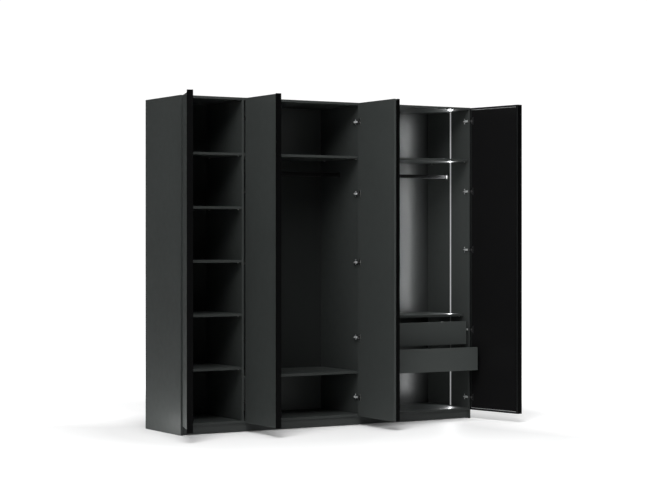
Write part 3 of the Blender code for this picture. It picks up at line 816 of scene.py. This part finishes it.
net.bsdf.inputs["Specular IOR Level"].default_value = 0.2
# camera-only emission, growing away from the wardrobe: it fades the floor into the white backdrop,
# and paints light over the key's shadow to the right of and behind the wardrobe and a little in
# front
far = net.add("ShaderNodeVectorMath", operation="LENGTH")
net.link(net.object, far.inputs[0])
floor_painted_light = net.remap(far.outputs["Value"], 1.6, 4.1, 0.04, 1.0)
axes = net.add("ShaderNodeSeparateXYZ")
net.link(net.object, axes.inputs[0])
for axis, a, b, most in ((1, OY - 0.45, OY - 1.45, 0.13),
                         (0, SIDE_EDGE - 0.42, SIDE_EDGE + 0.30, 0.50),
                         (0, SIDE_EDGE, SIDE_EDGE + 1.3, 1.0),
                         (1, BACK_EDGE, BACK_EDGE + 0.9, 0.45)):
    floor_painted_light = net.math("MAXIMUM", floor_painted_light, net.remap(axes.outputs[axis], a, b, 0.0, most))
ray = net.add("ShaderNodeLightPath")
shown = net.math("MULTIPLY", floor_painted_light, ray.outputs["Is Camera Ray"])
net.link(net.math("MULTIPLY", shown, 0.9), net.bsdf.inputs["Emission Strength"])
net.bsdf.inputs["Emission Color"].default_value = (1, 1, 1, 1)
floor_mesh.materials.append(net.mat)

# ----------------------------------------------------------------------- lights
world = bpy.data.worlds.new("studio")
SCENE.world = world
world.use_nodes = True
tree = world.node_tree
tree.nodes.clear()
out = tree.nodes.new("ShaderNodeOutputWorld")
seen = tree.nodes.new("ShaderNodeBackground")
seen.inputs["Color"].default_value = (1, 1, 1, 1)
seen.inputs["Strength"].default_value = 1.05
lit = tree.nodes.new("ShaderNodeBackground")
lit.inputs["Color"].default_value = (0.97, 0.99, 1.0, 1)
lit.inputs["Strength"].default_value = 0.085
pick = tree.nodes.new("ShaderNodeMixShader")
path = tree.nodes.new("ShaderNodeLightPath")
tree.links.new(path.outputs["Is Camera Ray"], pick.inputs["Fac"])
tree.links.new(lit.outputs[0], pick.inputs[1])
tree.links.new(seen.outputs[0], pick.inputs[2])
tree.links.new(pick.outputs[0], out.inputs["Surface"])


def area(name, size, size_y, location, target, power, colour=(1, 1, 1)):
    data = bpy.data.lights.new(name, "AREA")
    data.shape = "RECTANGLE"
    data.size, data.size_y = size, size_y
    data.energy = power
    data.color = colour
    obj = bpy.data.objects.new(name, data)
    obj.location = location
    direction = Vector(target) - Vector(location)
    obj.rotation_euler = direction.to_track_quat("-Z", "Y").to_euler()
    SCENE.collection.objects.link(obj)
    return obj


top = area("softbox_top", 14.0, 14.0, (0, -2.0, 7.5), (0, -2.0, 0), 230)
over_data = bpy.data.lights.new("overhead", "SUN")      # straight down, fairly sharp
over_data.energy, over_data.angle = 0.70, 0.16
overhead = bpy.data.objects.new("overhead", over_data)
overhead.location = (0, 0, 6.0)
SCENE.collection.objects.link(overhead)
key = area("softbox_left", 6.5, 6.0, (-4.6, -5.6, 8.6), (0, 0, 1.2), 1300)
low = area("softbox_low", 3.0, 2.4, (-8.2, -6.4, 2.2), (0, 0, 1.2), 120)
# light thrown back by the floor on the foot of the left side and of door 1
kick_side = area("floor_bounce_side", 0.62, 0.07, P(-0.30, 0.27, 0.03), P(0, 0.27, 0.05), 1.7)
kick_door = area("floor_bounce_door", 0.50, 0.07, P(-0.367, -0.127, 0.03),
                 P(-0.085, -0.230, 0.06), 2.2)
for light, names in ((kick_side, ("side_panel_left",)),
                     (kick_door, ("door_1_leaf", "door_1_grip_profile"))):
    lit_only = bpy.data.collections.new(light.name + "_on")
    for name in names:
        lit_only.objects.link(NODES[name])
    light.light_linking.receiver_collection = lit_only
# the light strip's own throw into the right-hand bay
STRIP_POWER = 4.4                          # W per metre
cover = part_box("light_cover")
strips = []
shelf_z = [c.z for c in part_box("shelf_right_upper")]
for word, z0, z1 in (("low", cover[0].z + 0.055, LIT_GAP[0]),
                     ("middle", LIT_GAP[1] + 0.045, shelf_z[0] - 0.02),
                     ("high", shelf_z[1] + 0.02, cover[1].z - 0.03)):
    yc, zc = (cover[0].y + cover[1].y) / 2, (z0 + z1) / 2
    strips.append(area("light_strip_throw_" + word, cover[1].y - cover[0].y, z1 - z0,
                       (cover[0].x - 0.002, yc, zc), (cover[0].x - 1.0, yc, zc),
                       STRIP_POWER * (z1 - z0), (0.97, 0.99, 1.0)))
# what the lit back panel throws on the wall opposite the divider
bounce = area("bay_bounce_right", 0.30, 2.2, P(DIV2[1] + 0.05, 0.30, 1.2),
              P(INNER_R, 0.34, 1.2), 7.0)
lit_only = bpy.data.collections.new("bay_bounce_right_on")
lit_only.objects.link(NODES["side_panel_right"])
bounce.light_linking.receiver_collection = lit_only
# soft fill on the back of the middle bay's top and bottom compartments
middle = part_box("back_panel_middle")
upper_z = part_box("shelf_middle_upper")[1].z
lower_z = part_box("shelf_middle_lower")[0].z
floor_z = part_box("bottom_panel")[1].z
fills = []
for word, z0, z1, power in (("top", upper_z, HEIGHT - SIDE_T, 0.64),
                            ("bottom", floor_z, lower_z, 0.62)):
    fill = area("bay_fill_middle_" + word, middle[1].x - middle[0].x - 0.12, z1 - z0 - 0.04,
                ((middle[0].x + middle[1].x) / 2, OY + 0.20, (z0 + z1) / 2),
                ((middle[0].x + middle[1].x) / 2, OY + 1.20, (z0 + z1) / 2), power)
    fill_on = bpy.data.collections.new(fill.name + "_on")
    fill_on.objects.link(NODES["back_panel_middle"])
    fill.light_linking.receiver_collection = fill_on
    fills.append(fill)
for light in (top, overhead, key, low, kick_side, kick_door, bounce, *strips, *fills):
    light.visible_camera = False

# ----------------------------------------------------------------------- camera
cam_data = bpy.data.cameras.new("photo_view")
cam_data.sensor_width = 36.0
cam_data.sensor_fit = "HORIZONTAL"
cam_data.lens = 102.083
cam_data.clip_start, cam_data.clip_end = 0.5, 300.0
cam = bpy.data.objects.new("photo_view", cam_data)
cam.location = P(-5.7829, -11.6060, 1.3778)
cam.rotation_euler = (math.radians(90), 0, math.radians(-30.946))
SCENE.collection.objects.link(cam)
SCENE.camera = cam
SCENE.view_settings.view_transform = "Standard"
SCENE.view_settings.look = "None"
SCENE.view_settings.exposure = 0.0
SCENE.view_settings.gamma = 1.0
